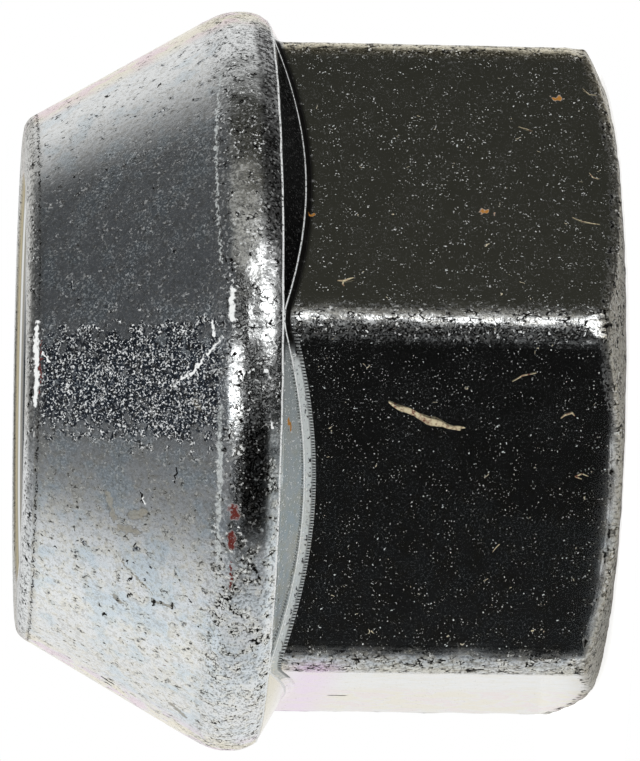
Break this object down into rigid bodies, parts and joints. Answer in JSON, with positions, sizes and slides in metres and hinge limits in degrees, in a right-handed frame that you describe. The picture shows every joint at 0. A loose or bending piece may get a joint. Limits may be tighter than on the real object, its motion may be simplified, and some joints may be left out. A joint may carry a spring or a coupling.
{
  "type": "lug nut",
  "caption": "Open-end bulge lug nut with a hex drive, a flared bulge, a conical seat and a threaded hole right through.",
  "frame": {"origin": "centre of the hex end face, on which the nut stands", "axes": "+Z along the bore axis, from the hex end towards the conical seat; +X through a corner of the hex"},
  "size_m": [0.0226, 0.0224, 0.0175],
  "materials": {
    "zinc_plated_steel": "bright zinc plate with a thin clear chromate, satin on the cone, rough on the bulge and the edges"
  },
  "bodies": {
    "root": {"lug_nut": "zinc_plated_steel"}
  },
  "joints": []
}
